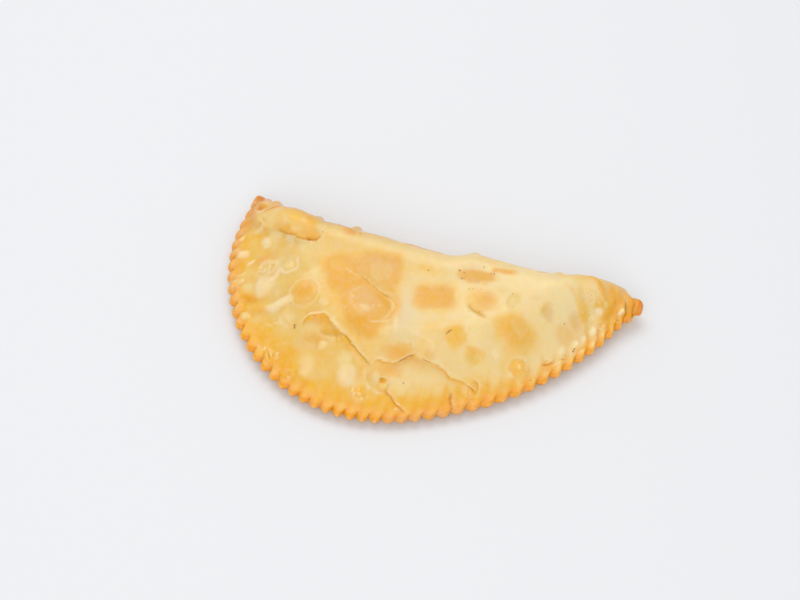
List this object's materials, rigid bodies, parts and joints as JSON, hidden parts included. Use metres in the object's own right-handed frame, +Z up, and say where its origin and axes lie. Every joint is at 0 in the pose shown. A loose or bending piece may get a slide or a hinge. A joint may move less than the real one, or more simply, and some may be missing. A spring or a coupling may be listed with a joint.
{
  "type": "cheburek",
  "caption": "Uncut fried half-moon turnover with a straight puffed fold, a curved fluted seam, a blistered golden crust and a flat underside to rest on",
  "frame": {"origin": "on the surface the turnover rests on, under the middle of its box", "axes": "+X along the fold to the right tip, -Y towards the fluted seam, +Z up"},
  "size_m": [0.2087, 0.1102, 0.0281],
  "materials": {
    "crust": "oily fried dough crust, pale on top, golden at the blisters and orange-brown along the fluted seam"
  },
  "bodies": {
    "root": {"cheburek": "crust"}
  },
  "joints": []
}
